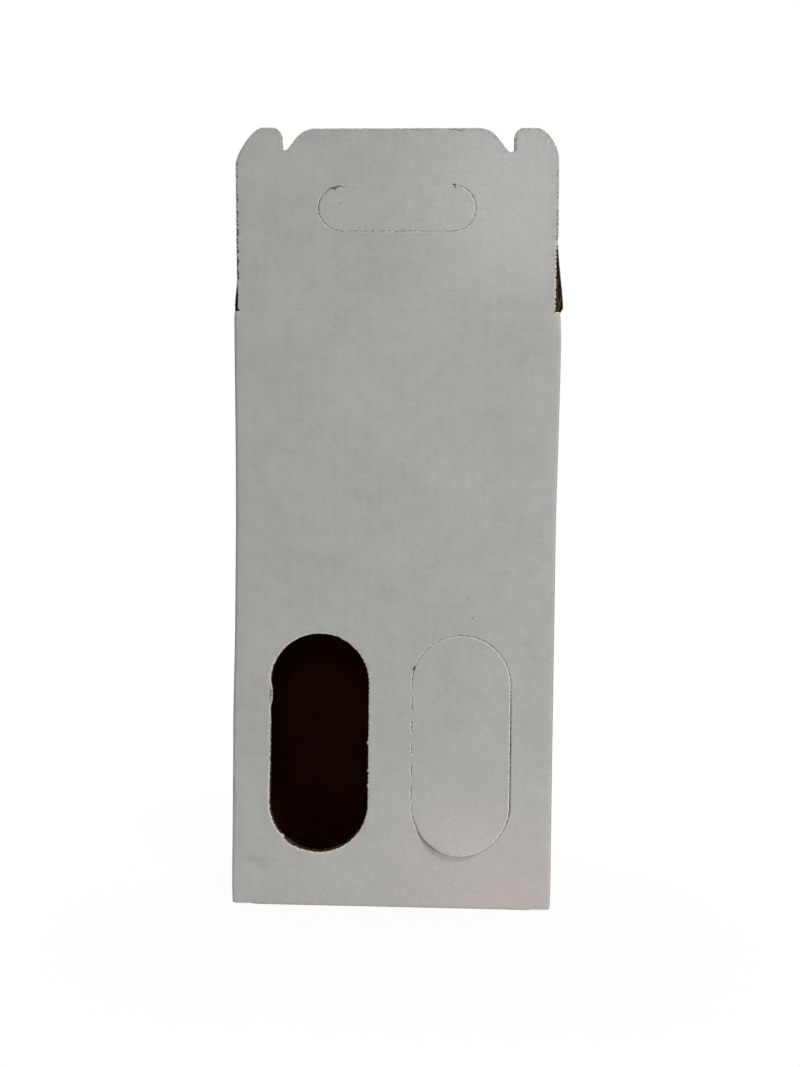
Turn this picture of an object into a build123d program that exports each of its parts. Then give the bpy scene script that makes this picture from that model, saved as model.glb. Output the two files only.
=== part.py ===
# A carrier for two bottles, folded from one white corrugated sheet, standing with its top open.
# Millimetres. Z is up, the front faces -Y, and the origin is the middle of the base.
from build123d import *
import math
import os

# The folded sheet
board = 3.0  # thickness of the corrugated board
width = 177.4  # outside width of the lower walls
depth = 92.0  # outside depth
shoulder = 332.6  # height of the crease under the top panels
fold_round = 2.2  # outside rounding of a scored fold
fold_inside = 0.6  # inside rounding of a scored fold
foot_round = 1.8  # outside rounding of the folds at the base
flare_height = 215.0  # above this the side walls spring outwards
mouth_flare = 2.4  # how far each side wall stands out at the shoulder

# The glued seam at the back left corner
seam_width = 30.0  # width of the glued strip inside the left wall
seam_inset = 8.0  # how far the strip ends below the shoulder
seam_recess = 0.6  # the cut edge of the left wall stops this far short of the back face

# The windows low in the front wall
window_width = 54.9
window_height = 122.0
window_margin = 21.75  # from the side of the box to the nearer edge of a window
window_shift = -1.1  # the pair is cut a little to the left
window_base = 30.5  # lowest point of a window above the base
cut_gap = 0.3  # width of a knife cut between a panel and the sheet round it

# The top panels, front and back
panel_height = 99.5
panel_lean = 2.5  # degrees outwards
panel_side_gap = 0.3  # between a panel's side edge and the inside of a side flap
crease_gap = 0.15  # between a hinged panel and the edge it hangs on
crease_relief = 30.0  # degrees, the crushed inside of the crease that lets a panel lean in
ear_side = 64.2  # from the middle to the upright inner side of an ear
ear_inner_round = 5.0
left_notch_depth = 11.6
right_notch_depth = 13.0
notch_round = 1.9
notch_slope = 51.5  # degrees, the sloping side of the hook notch
top_edge_round = 13.5  # where the top edge rolls over into the notch
left_ear_spread = 1.5  # how far the panel's side edge has moved out where the ear begins
left_ear_flat = 75.2  # where the flat top of the left ear ends
left_ear_drop = 20.0  # height of its outer curve
left_ear_fullness = 0.38  # how full that curve is
right_ear_spread = 0.3
right_ear_flat = 76.6
right_ear_drop = 18.0
right_ear_fullness = 0.5

# The hand holes in the top panels
hand_width = 87.1
hand_height = 25.0
hand_centre = 56.3  # above the crease

# The side flaps with their lock slots
side_lean = 2.0  # degrees outwards
side_taper = 25.0  # degrees, slope of the flap's front and back edges
side_setback = 1.0  # where the flap starts, back from the face of the front panel
side_length = 96.0
neck_width = 30.0
neck_round = 9.0
neck_blend = 12.0
slot_width = 7.5  # takes the ears of both top panels
slot_length = 27.0
slot_strip = 9.0  # the strip beyond the slot, which drops into the notches

# The bottom, four flaps that lock into each other
layer_gap = 0.2  # between two flaps lying on each other
front_reach = 38.0  # length of the front bottom flap
back_reach = 58.0
back_clearance = 6.0
back_ramp = 13.0  # run over which the back flap climbs onto the side flaps
side_reach = 57.0  # length of the side bottom flaps
side_ramp = 8.0  # run over which they climb onto the front flap
side_front_clearance = 1.0
side_back_clearance = 15.0
side_tip_width = 30.0
tongue_width = 48.0
tongue_ramp = 18.0  # run over which the tongue climbs through the notch in the back flap
tongue_reach = 18.0  # flat end of the tongue, lying on the back flap
tongue_clearance = 3.0  # between the tongue and the notch it passes
corner_cut = 9.0  # sloped corners of the bottom flaps

# The loose board between the two bottles
divider_height = 210.0
divider_clearance = 0.5  # between the board and the walls
divider_round = 4.0  # its upper corners
seat_gap = 0.3  # under a piece that rests

# Worked out from the sizes above
half_width = width / 2
half_depth = depth / 2
mouth_half = half_width + mouth_flare
window_middle = window_base + window_height / 2
panel_half = mouth_half - board - panel_side_gap
layer_rise = board + layer_gap
inner_half_width = half_width - board
inner_half_depth = half_depth - board
hand_top = hand_centre + hand_height / 2
lean = math.radians(panel_lean)
front_panel_plane = Plane(
    origin=(0, -half_depth, shoulder),
    x_dir=(1, 0, 0),
    z_dir=(0, -math.cos(lean), -math.sin(lean)),
)
spread = math.radians(side_lean)
right_side_plane = Plane(
    origin=(mouth_half, 0, shoulder),
    x_dir=(0, 1, 0),
    z_dir=(math.cos(spread), 0, -math.sin(spread)),
)
front_wall_plane = Plane(origin=(0, -half_depth, 0), x_dir=(1, 0, 0), z_dir=(0, -1, 0))
window_offset = half_width - window_margin - window_width / 2
left_window = window_shift - window_offset
right_window = window_shift + window_offset
window_fold = right_window - window_width / 2
tongue_root = -inner_half_depth + front_reach
tongue_top = tongue_root + tongue_ramp
back_edge = inner_half_depth - back_reach


# The block filled by the four walls and what they enclose, inset from the outer faces of the
# side walls and of the front and back walls
def wall_block(side_inset, face_inset, rounding):
    block_depth = depth - 2 * face_inset
    with BuildPart() as block:
        with BuildSketch():
            RectangleRounded(width - 2 * side_inset, block_depth, rounding)
        extrude(amount=flare_height)
        with BuildSketch(Plane.XY.offset(flare_height)):
            RectangleRounded(width - 2 * side_inset, block_depth, rounding)
        with BuildSketch(Plane.XY.offset(shoulder)):
            RectangleRounded(2 * (mouth_half - side_inset), block_depth, rounding)
        loft()
    return block.part


outer_block = wall_block(0, 0, fold_round)
inner_block = wall_block(board, board, fold_inside)

# The glued strip, a second layer on the inside of the left wall at the back corner
with BuildPart() as seam_strip:
    add(wall_block(board, board, fold_inside))
    add(wall_block(2 * board, board, fold_inside), mode=Mode.SUBTRACT)
    with BuildSketch(Plane.YZ.offset(-mouth_half)):
        with BuildLine():
            seam_edge = inner_half_depth - seam_width
            seam_foot = back_ramp
            seam_top = shoulder - seam_inset
            FilletPolyline(
                (inner_half_depth + layer_gap, seam_foot),
                (inner_half_depth + layer_gap, seam_top),
                (seam_edge, seam_top - seam_inset),
                (seam_edge, seam_foot + seam_inset),
                radius=[0, fold_round, fold_round, 0],
                close=True,
            )
        make_face()
    extrude(amount=mouth_half - inner_half_width + 2 * board, mode=Mode.INTERSECT)


# Corners of a bottom flap seen from the side: it leaves its wall at the base and climbs onto a layer
def climbing_corners(start, foot, ramp_end, end, rise):
    return [
        (start, 0),
        (foot, 0),
        (ramp_end, rise),
        (end, rise),
        (end, rise + board),
        (ramp_end, rise + board),
        (foot, board),
        (start, board),
    ]


# Front bottom flap, the outermost, with the tongue that climbs through the notch onto the back flap
front_flap_half = inner_half_width - side_ramp
front_flap_start = -half_depth + foot_round
with BuildPart() as front_bottom_flap:
    with BuildSketch():
        with BuildLine():
            Polyline(
                (-front_flap_half, front_flap_start),
                (front_flap_half, front_flap_start),
                (front_flap_half, tongue_root - corner_cut),
                (front_flap_half - corner_cut, tongue_root),
                (-front_flap_half + corner_cut, tongue_root),
                (-front_flap_half, tongue_root - corner_cut),
                close=True,
            )
        make_face()
    extrude(amount=board)
    tongue_corners = climbing_corners(
        front_flap_start, tongue_root, tongue_top, tongue_top + tongue_reach, 3 * layer_rise
    )
    with BuildSketch(Plane.YZ):
        with BuildLine():
            Polyline(*tongue_corners, close=True)
        make_face()
    extrude(amount=tongue_width / 2, both=True)
    tongue_tip = front_bottom_flap.edges().filter_by(Axis.Z).group_by(Axis.Y)[-1]
    fillet(tongue_tip, corner_cut)

# Side bottom flaps, lying on the front flap
side_flap_front = -inner_half_depth + side_front_clearance
side_flap_back = inner_half_depth - side_back_clearance
side_flap_tip = inner_half_width - side_reach
tip_back = side_flap_front + side_tip_width
side_flap_start = half_width - foot_round
with BuildPart() as side_bottom_flap:
    side_corners = climbing_corners(
        side_flap_start, inner_half_width, front_flap_half, side_flap_tip, layer_rise
    )
    with BuildSketch(Plane.XZ):
        with BuildLine():
            Polyline(*side_corners, close=True)
        make_face()
    extrude(amount=half_depth, both=True)
    with BuildSketch():
        with BuildLine():
            Polyline(
                (side_flap_start, side_flap_front),
                (side_flap_tip, side_flap_front),
                (side_flap_tip, tip_back),
                (side_flap_tip + side_flap_back - tip_back, side_flap_back),
                (side_flap_start, side_flap_back),
                close=True,
            )
        make_face()
    extrude(amount=layer_rise + board, mode=Mode.INTERSECT)

# Back bottom flap, the innermost, with the notch that the tongue passes
back_flap_half = inner_half_width - back_clearance
back_flap_start = half_depth - foot_round
notch_half = tongue_width / 2 + tongue_clearance
notch_end = tongue_top + layer_gap + tongue_clearance / 2
with BuildPart() as back_bottom_flap:
    back_ramp_end = inner_half_depth - back_ramp
    back_corners = climbing_corners(
        back_flap_start, inner_half_depth, back_ramp_end, back_edge, 2 * layer_rise
    )
    with BuildSketch(Plane.YZ):
        with BuildLine():
            Polyline(*back_corners, close=True)
        make_face()
    extrude(amount=half_width, both=True)
    with BuildSketch():
        with BuildLine():
            Polyline(
                (-back_flap_half, back_flap_start),
                (back_flap_half, back_flap_start),
                (back_flap_half, back_edge + corner_cut),
                (back_flap_half - corner_cut, back_edge),
                (notch_half, back_edge),
                (notch_half, notch_end),
                (-notch_half, notch_end),
                (-notch_half, back_edge),
                (-back_flap_half + corner_cut, back_edge),
                (-back_flap_half, back_edge + corner_cut),
                close=True,
            )
        make_face()
    extrude(amount=2 * layer_rise + board, mode=Mode.INTERSECT)

# The folded sheet: walls, bottom, glued seam and the two cut windows
with BuildPart() as carton_body:
    add(outer_block)
    foot_edges = carton_body.faces().sort_by(Axis.Z)[0].edges()
    fillet(foot_edges, foot_round)
    add(inner_block, mode=Mode.SUBTRACT)
    add(front_bottom_flap.part)
    add(side_bottom_flap.part)
    mirror(side_bottom_flap.part, about=Plane.YZ)
    add(back_bottom_flap.part)
    add(seam_strip.part)
    with BuildSketch(Plane.XY):
        with Locations((-inner_half_width, half_depth)):
            Rectangle(2 * (mouth_flare + board), 2 * seam_recess, align=(Align.MAX, Align.CENTER))
    extrude(amount=shoulder, mode=Mode.SUBTRACT)
    with BuildSketch(front_wall_plane):
        with Locations((left_window, window_middle), (right_window, window_middle)):
            SlotOverall(window_height, window_width, rotation=90)
    extrude(amount=-board, mode=Mode.SUBTRACT)

# The panel still in the right window; its left side hangs on the perforated line
with BuildPart() as window_flap:
    with BuildSketch(front_wall_plane):
        with Locations((right_window, window_middle)):
            SlotOverall(window_height - 2 * cut_gap, window_width - 2 * cut_gap, rotation=90)
        with Locations((window_fold + crease_gap, window_middle)):
            Rectangle(
                window_width / 2,
                window_height - window_width,
                align=(Align.MIN, Align.CENTER),
            )
    extrude(amount=-board)


# One end of a top panel's outline: side edge, ear, hook notch and the slope up to the top edge
def panel_end(side, notch_depth, ear_spread, ear_flat, ear_drop, fullness):
    slope = math.radians(notch_slope)
    notch_centre = ear_side - notch_round
    notch_centre_down = notch_depth - notch_round
    slope_run = (notch_round + notch_centre_down * math.cos(slope)) / math.sin(slope)
    slope_top = notch_centre - slope_run
    notch_corner = panel_height - (ear_side - slope_top) * math.tan(slope)
    ear_start = panel_height - ear_drop
    ear_half = panel_half + ear_spread
    Line((side * panel_half, crease_gap), (side * ear_half, ear_start))
    Bezier(
        (side * ear_half, ear_start),
        (side * ear_half, ear_start + fullness * ear_drop),
        (side * (ear_flat + fullness * (ear_half - ear_flat)), panel_height),
        (side * ear_flat, panel_height),
    )
    FilletPolyline(
        (side * ear_flat, panel_height),
        (side * ear_side, panel_height),
        (side * ear_side, notch_corner),
        (side * slope_top, panel_height),
        (0, panel_height),
        radius=[ear_inner_round, notch_round, top_edge_round],
    )


panel_section_plane = Plane(
    origin=front_panel_plane.origin,
    x_dir=-front_panel_plane.z_dir,
    z_dir=(1, 0, 0),
)
relief = math.tan(math.radians(crease_relief))
with BuildPart() as front_top_flap:
    with BuildSketch(front_panel_plane):
        with BuildLine():
            Line((-panel_half, crease_gap), (panel_half, crease_gap))
            panel_end(
                -1,
                left_notch_depth,
                left_ear_spread,
                left_ear_flat,
                left_ear_drop,
                left_ear_fullness,
            )
            panel_end(
                1,
                right_notch_depth,
                right_ear_spread,
                right_ear_flat,
                right_ear_drop,
                right_ear_fullness,
            )
        make_face()
        with Locations((0, hand_centre)):
            SlotOverall(hand_width, hand_height, mode=Mode.SUBTRACT)
    extrude(amount=-board)
    with BuildSketch(panel_section_plane):
        with BuildLine():
            Polyline(
                (0, 0),
                (0, crease_gap),
                (2 * board, crease_gap + 2 * board * relief),
                (2 * board, 0),
                close=True,
            )
        make_face()
    extrude(amount=mouth_half, both=True, mode=Mode.SUBTRACT)

# The panel in the hand hole; it hangs on the uncut middle of the hole's top line
with BuildPart() as front_hand_flap:
    with BuildSketch(front_panel_plane):
        with Locations((0, hand_centre)):
            SlotOverall(hand_width - 2 * cut_gap, hand_height - 2 * cut_gap)
        with Locations((0, hand_top - crease_gap)):
            Rectangle(
                hand_width - hand_height,
                hand_height / 2,
                align=(Align.CENTER, Align.MAX),
            )
    extrude(amount=-board)

# The back panel and its hand panel are the front ones seen in a mirror
with BuildPart() as back_top_flap:
    mirror(front_top_flap.part, about=Plane.XZ)

with BuildPart() as back_hand_flap:
    mirror(front_hand_flap.part, about=Plane.XZ)

# The side flaps: sloped like the closed top, then a neck with the slot for the ears
flap_half = half_depth - side_setback
neck_half = neck_width / 2
neck_start = (flap_half - neck_half) / math.tan(math.radians(side_taper))
with BuildPart() as right_side_flap:
    with BuildSketch(right_side_plane):
        with BuildLine():
            FilletPolyline(
                (-flap_half, crease_gap),
                (flap_half, crease_gap),
                (neck_half, crease_gap + neck_start),
                (neck_half, side_length),
                (-neck_half, side_length),
                (-neck_half, crease_gap + neck_start),
                radius=[0, 0, neck_blend, neck_round, neck_round, neck_blend],
                close=True,
            )
        make_face()
        with Locations((0, side_length - slot_strip - slot_length / 2)):
            SlotOverall(slot_length, slot_width, rotation=90, mode=Mode.SUBTRACT)
    extrude(amount=-board)

with BuildPart() as left_side_flap:
    mirror(right_side_flap.part, about=Plane.YZ)

# The loose board between the bottles, standing on the front bottom flap and cut out over the tongue
divider_half = inner_half_depth - divider_clearance
divider_seat = board + seat_gap
divider_step = 3 * layer_rise + board + seat_gap
step_edge = tongue_root - tongue_clearance
with BuildPart() as bottle_divider:
    with BuildSketch(Plane.YZ):
        with BuildLine():
            FilletPolyline(
                (-divider_half, divider_seat),
                (step_edge, divider_seat),
                (step_edge, divider_step),
                (divider_half, divider_step),
                (divider_half, divider_height),
                (-divider_half, divider_height),
                radius=[0, 0, 0, 0, divider_round, divider_round],
                close=True,
            )
        make_face()
    extrude(amount=board / 2, both=True)

os.makedirs("parts", exist_ok=True)

carton_body.part.label = "carton_body"
export_step(carton_body.part, "parts/carton_body.step")
window_flap.part.label = "window_flap"
export_step(window_flap.part, "parts/window_flap.step")
front_top_flap.part.label = "front_top_flap"
export_step(front_top_flap.part, "parts/front_top_flap.step")
front_hand_flap.part.label = "front_hand_flap"
export_step(front_hand_flap.part, "parts/front_hand_flap.step")
back_top_flap.part.label = "back_top_flap"
export_step(back_top_flap.part, "parts/back_top_flap.step")
back_hand_flap.part.label = "back_hand_flap"
export_step(back_hand_flap.part, "parts/back_hand_flap.step")
right_side_flap.part.label = "right_side_flap"
export_step(right_side_flap.part, "parts/right_side_flap.step")
left_side_flap.part.label = "left_side_flap"
export_step(left_side_flap.part, "parts/left_side_flap.step")
bottle_divider.part.label = "bottle_divider"
export_step(bottle_divider.part, "parts/bottle_divider.step")
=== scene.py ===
# A white corrugated carrier for two bottles, standing open: its board, cuts, wear and studio.
# Shapes are drawn in millimetres on the flat sheet and then folded into place in metres.
import math
import bpy
import numpy as np
from mathutils import Matrix, Vector
from mathutils.geometry import delaunay_2d_cdt


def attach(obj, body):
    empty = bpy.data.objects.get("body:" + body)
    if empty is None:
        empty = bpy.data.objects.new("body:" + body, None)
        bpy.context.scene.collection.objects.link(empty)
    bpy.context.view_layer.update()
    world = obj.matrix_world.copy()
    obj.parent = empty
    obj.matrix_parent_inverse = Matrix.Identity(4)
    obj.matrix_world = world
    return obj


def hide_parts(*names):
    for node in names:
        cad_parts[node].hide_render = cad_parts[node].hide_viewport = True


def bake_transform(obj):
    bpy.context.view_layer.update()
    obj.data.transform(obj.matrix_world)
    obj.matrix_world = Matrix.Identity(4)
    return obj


print("loading the frame")
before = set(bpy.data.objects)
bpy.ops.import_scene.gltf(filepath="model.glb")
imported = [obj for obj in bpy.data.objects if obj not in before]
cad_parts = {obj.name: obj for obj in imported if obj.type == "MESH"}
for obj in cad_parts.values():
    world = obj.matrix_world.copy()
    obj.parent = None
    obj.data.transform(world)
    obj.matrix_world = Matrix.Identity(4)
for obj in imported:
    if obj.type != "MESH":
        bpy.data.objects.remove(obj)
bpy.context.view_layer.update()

# The corrugated board: white liner outside, fluting, brown liner inside (mm)
board = {
    "thickness": 3.0,
    "liner": 0.3,
    "medium": 0.2,
    "flutePitch": 6.35,  # B flute, crest to crest
    "stepsPerFlute": 10,
    "crush": 0.3,  # how far the knife presses the white liner in at a cut
    "crushReach": 0.34,
    "lip": 0.10,  # the burr that it raises beside the cut
    "lipAt": 0.72,
    "lipReach": 0.36,
    "markReach": 0.4,  # how far the painted shade of the notches spreads from the cut or the burr
    "squeezeReach": 0.85,  # how far from a cut the flutes are squeezed
    "shortestFlute": 4.5,  # shorter stretches of fluting aren't drawn
    "bendStep": 1.3,  # spacing of the points across the rows that bend
    "innerCrush": 0.18,
    "mediumRecess": 0.22,  # the fluting ends this far inside a cut
    "creaseDepth": 0.10,
    "creaseReach": 0.8,
    "creaseValley": 0.8,  # how far the scoring wheel pressed the inside in
    "valleyReach": 1.3,
    "sharpAngle": 42,  # degrees; a steeper edge is shaded sharp
}

# The folded carton, with the sizes of the part's source (mm)
carton = {
    "halfWidth": 88.7,
    "halfDepth": 46.0,
    "shoulder": 332.6,
    "foldRound": 2.2,
    "foldInside": 0.6,
    "footRound": 1.8,
    "flareHeight": 215.0,
    "mouthFlare": 2.4,
    "creaseHalf": 1.2,  # half the height of the scored band that bends
    "seamRecess": 0.6,
    "seamWidth": 30.0,
    "seamFoot": 13.0,
    "seamTop": 324.6,
    "seamGlue": 0.03,
    "tabSpare": 0.12,  # at their crease the front wall is this much wider than its top panel, at each side
    "squeezeRun": 16,  # the inner layers are drawn together over this length beside a fold
    "bow": 0.14,  # the board is never quite flat
    "bowRun": 22,  # and it flattens out over this length towards a fold
    # how far the folds stand out, at these heights, as the carton has sprung open
    "swellHeights": [0, 12, 60, 105, 127, 150, 217, 250, 300, 318, 331],
    "swellRight": [0.1, 0.5, 0.6, 0.8, 0.9, 1.0, 1.3, 1.3, 1.2, 1.0, 0.2],
    "swellLeft": [0.1, 0.5, 0.5, 0.75, 0.5, 0.2, 0.25, 0.0, 0.0, 0.0, 0.0],
    "swellFrom": 70,  # how far from the middle it begins, and over what length it grows
    "swellRun": 17,
}

shoulder = carton["shoulder"]
crease = carton["creaseHalf"]
foldRound = carton["foldRound"]
footRound = carton["footRound"]
halfDepth = carton["halfDepth"]
halfWidth = carton["halfWidth"]
flatFront = halfWidth - foldRound
flatSide = halfDepth - foldRound
foldArc = math.pi / 2 * foldRound
centreShift = board["thickness"] - foldRound + carton["foldInside"]
innerHalfWidth = halfWidth - board["thickness"]
innerHalfDepth = halfDepth - board["thickness"]
# Where the walls start along the sheet, from the middle of the front
sideStart = flatFront + foldArc
sideMiddle = sideStart + flatSide
backStart = sideMiddle + flatSide + foldArc
backMiddle = backStart + flatFront
backFlatEnd = innerHalfWidth - foldRound
seamFold = backMiddle + backFlatEnd
stripStart = seamFold + foldArc
footEdge = footRound - math.pi / 2 * footRound
# The top panels are as wide as the flared mouth; this brings a place on them to the sheet's own width
mouthToSheet = flatFront / (flatFront + carton["mouthFlare"])


def smoothStep(x):
    t = np.clip(x, 0, 1)
    return t * t * (3 - 2 * t)


# Points at an even spacing along an open path
def walk(path, step):
    points = np.array(path, float)
    along = np.concatenate(([0], np.cumsum(np.hypot(*np.diff(points, axis=0).T))))
    count = max(1, round(along[-1] / step))
    at = np.linspace(0, along[-1], count + 1)
    return np.column_stack([np.interp(at, along, points[:, i]) for i in (0, 1)])


# An open path whose inner corners are rounded
def filleted(corners, radii, steps=10):
    points = [np.array(corners[0], float)]
    for before, corner, after, radius in zip(corners, corners[1:], corners[2:], radii):
        corner = np.array(corner, float)
        if radius <= 0:
            points.append(corner)
            continue
        a, b = np.array(before, float) - corner, np.array(after, float) - corner
        a, b = a / np.linalg.norm(a), b / np.linalg.norm(b)
        half = math.acos(float(np.clip(a @ b, -1, 1))) / 2
        centre = corner + (a + b) / np.linalg.norm(a + b) * radius / math.sin(half)
        start = corner + a * radius / math.tan(half) - centre
        end = corner + b * radius / math.tan(half) - centre
        sweep = math.acos(float(np.clip(start @ end / radius**2, -1, 1)))
        for t in np.linspace(0, 1, steps):
            mixed = math.sin((1 - t) * sweep) * start + math.sin(t * sweep) * end
            points.append(centre + mixed / math.sin(sweep))
    points.append(np.array(corners[-1], float))
    return np.array(points)


def arcPath(centre, radius, start, end, steps=40):
    angles = np.radians(np.linspace(start, end, steps))
    return np.column_stack((centre[0] + radius * np.cos(angles), centre[1] + radius * np.sin(angles)))


def bezierPath(a, b, c, d, steps=30):
    t = np.linspace(0, 1, steps)[:, None]
    a, b, c, d = (np.array(p, float) for p in (a, b, c, d))
    return a * (1 - t) ** 3 + 3 * b * t * (1 - t) ** 2 + 3 * c * t**2 * (1 - t) + d * t**3


# A closed outline from open runs (path, True where the knife cut, spacing); counter-clockwise
# Its marks are how dark each point is painted, as painted shade of the cut's notches and gap, below 0 for a
# mark just inside the edge
def outline(runs):
    points, cuts = [], []
    for path, isCut, step in runs:
        walked = walk(path, step)[:-1]
        points.append(walked)
        cuts.append(np.full(len(walked), isCut))
    points = np.vstack(points)
    return points, np.concatenate(cuts), np.zeros(len(points))


def mirrored(loop):
    points, cuts, marks = loop
    return points[::-1] * (-1, 1), np.roll(cuts[::-1], -1), marks[::-1]


# Directions away from the board at each point of a loop
def awayFrom(points, isHole):
    ahead = np.roll(points, -1, 0) - np.roll(points, 1, 0)
    ahead /= np.maximum(np.linalg.norm(ahead, axis=1), 1e-9)[:, None]
    return np.column_stack((ahead[:, 1], -ahead[:, 0])) * (-1 if isHole else 1)


# The notches that the teeth of a cutting rule leave along a cut, with painted shade in them
def toothed(loop, isHole, pitch, depth, seed, rough=0.05, darkness=None):
    points, cuts, marks = loop
    rng = np.random.default_rng(seed)
    steps = np.linalg.norm(np.roll(points, -1, 0) - points, axis=1)
    along = np.concatenate(([0], np.cumsum(steps)[:-1]))
    number, phase = (along / pitch).astype(int), (along / pitch) % 1
    strength, middle, half = (rng.uniform(low, high, number[-1] + 2)[number]
                              for low, high in ((0.2, 1.0), (0.35, 0.65), (0.18, 0.42)))
    tooth = np.clip(1.5 - 1.1 * np.abs(phase - middle) / half, 0, 1)
    isCutPoint = cuts & np.roll(cuts, 1)
    shift = np.where(isCutPoint, -depth * tooth * strength + rng.normal(0, rough, len(points)), 0)
    if darkness is not None:
        marks = marks + darkness(points[:, 0], points[:, 1]) * tooth * strength * isCutPoint
    return points + awayFrom(points, isHole) * shift[:, None], cuts, marks


# Places where a cut strays: (across, height, half length, how far into the board, darkness of painted shade)
def strayed(loop, isHole, places):
    points, cuts, marks = loop
    away, moved, marks = awayFrom(points, isHole), points.copy(), marks.copy()
    for across, height, half, depth, darkness in places:
        near = np.exp(-((np.hypot(points[:, 0] - across, points[:, 1] - height) / half) ** 4))
        moved -= away * (depth * near * cuts)[:, None]
        marks += darkness * near
    return moved, cuts, marks


def isInside(points, loops, block=400):
    inside = np.zeros(len(points), bool)
    for loop, *_ in loops:
        a, b = loop, np.roll(loop, -1, 0)
        slope = (b[:, 0] - a[:, 0]) / np.where(np.abs(b[:, 1] - a[:, 1]) < 1e-12, 1e-12, b[:, 1] - a[:, 1])
        for k in range(0, len(points), block):
            x, y = points[k:k + block, :1], points[k:k + block, 1:]
            straddles = (a[None, :, 1] > y) != (b[None, :, 1] > y)
            crossed = straddles & (x < a[None, :, 0] + (y - a[None, :, 1]) * slope[None])
            inside[k:k + block] ^= crossed.sum(1) % 2 == 1
    return inside


# Distance of each point to the nearest edge of a kind, or 60 without one, and that edge's mark
def nearestEdge(points, loops, wantsCut, block=400):
    nearest, found = np.full(len(points), 60.0), np.zeros(len(points))
    for loop, cuts, marks in loops:
        keep = cuts if wantsCut else ~cuts
        if not keep.any():
            continue
        a, b = loop[keep], np.roll(loop, -1, 0)[keep]
        markA, markB = marks[keep], np.roll(marks, -1)[keep]
        ab = b - a
        size = np.maximum((ab**2).sum(1), 1e-12)
        for k in range(0, len(points), block):
            ap = points[k:k + block, None] - a[None]
            t = np.clip((ap * ab).sum(2) / size, 0, 1)
            gap = np.sqrt(((ap - t[..., None] * ab) ** 2).sum(2))
            best, row = gap.argmin(1), np.arange(len(gap))
            mark = markA[best] + t[row, best] * (markB - markA)[best]
            closer = gap[row, best] < nearest[k:k + block]
            nearest[k:k + block] = np.where(closer, gap[row, best], nearest[k:k + block])
            found[k:k + block] = np.where(closer, mark, found[k:k + block])
    return nearest, found


# Triangles that fill the outline, fine along the cuts, and close together on the rows where the sheet bends.
# Inner points keep clear of the edges and of the lines of points beside them, so that few triangles are thin.
def triangulate(loops, columns, rows, bends, rings):
    extra = []
    for index, (points, cuts, _) in enumerate(loops):
        inward = -awayFrom(points, index > 0)
        for reach in rings:
            extra.append((points + inward * reach)[cuts][:: 1 if reach < 0.5 else 2])
            wide = np.full(len(extra[-1]), 0.8 * reach)
            extra[-1] = np.column_stack((extra[-1], wide))
    close = [np.linspace(a, b, math.ceil((b - a) / board["bendStep"]) + 1)[:-1]
             for a, b in zip(columns, columns[1:])]
    for across, up in ((columns, rows), (np.concatenate(close), bends)):
        grid = np.array(np.meshgrid(across, up)).reshape(2, -1).T
        extra.append(np.column_stack((grid, np.full(len(grid), -1.0))))
    extra = np.vstack(extra)
    extra = extra[isInside(extra[:, :2], loops)]
    toCut, _ = nearestEdge(extra[:, :2], loops, True)
    toFold, _ = nearestEdge(extra[:, :2], loops, False)
    isGrid = extra[:, 2] < 0
    clearOfCut = np.where(isGrid, max(rings) + 0.3, extra[:, 2])
    clearOfFold = np.where(isGrid, 0.25, 0.2)
    extra = extra[(toCut > clearOfCut) & (toFold > clearOfFold), :2]
    points, edges = [], []
    for loop, *_ in loops:
        start, count = len(points), len(loop)
        points += [Vector(p) for p in loop]
        edges += [(start + i, start + (i + 1) % count) for i in range(count)]
    points += [Vector(p) for p in extra]
    flat, _, triangles, _, _, _ = delaunay_2d_cdt(points, edges, [], 0, 1e-5)
    flat, triangles = np.array(flat), np.array(triangles)
    triangles = triangles[isInside(flat[triangles].mean(1), loops)]
    a, b, c = (flat[triangles[:, i]] for i in range(3))
    area = (b[:, 0] - a[:, 0]) * (c[:, 1] - a[:, 1]) - (b[:, 1] - a[:, 1]) * (c[:, 0] - a[:, 0])
    triangles = triangles[np.abs(area) > 1e-7]
    area = area[np.abs(area) > 1e-7]
    triangles[area < 0] = triangles[area < 0][:, ::-1]
    used = np.unique(triangles)
    renumber = np.zeros(len(flat), int)
    renumber[used] = np.arange(len(used))
    return flat[used], renumber[triangles]


# Edges that only one triangle has, in that triangle's direction
def borderOf(triangles):
    directed = np.vstack([triangles[:, [i, (i + 1) % 3]] for i in range(3)])
    known = {(int(a), int(b)) for a, b in directed}
    return np.array([(a, b) for a, b in known if (b, a) not in known], int)


def newShape():
    return {"places": [], "flat": [], "cut": [], "marks": [], "faces": [], "materials": [], "count": 0}


def addPoints(shape, place, flat, depth, cutDistance, marks):
    places = place(flat[:, 0], flat[:, 1], depth)
    start = shape["count"]
    shape["places"].append(places)
    shape["flat"].append(np.column_stack((flat, depth)))
    shape["cut"].append(cutDistance)
    shape["marks"].append(marks)
    shape["count"] += len(flat)
    return start


def addFaces(shape, faces, material):
    shape["faces"] += [tuple(int(i) for i in face) for face in faces]
    shape["materials"] += [material] * len(faces)


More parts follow.
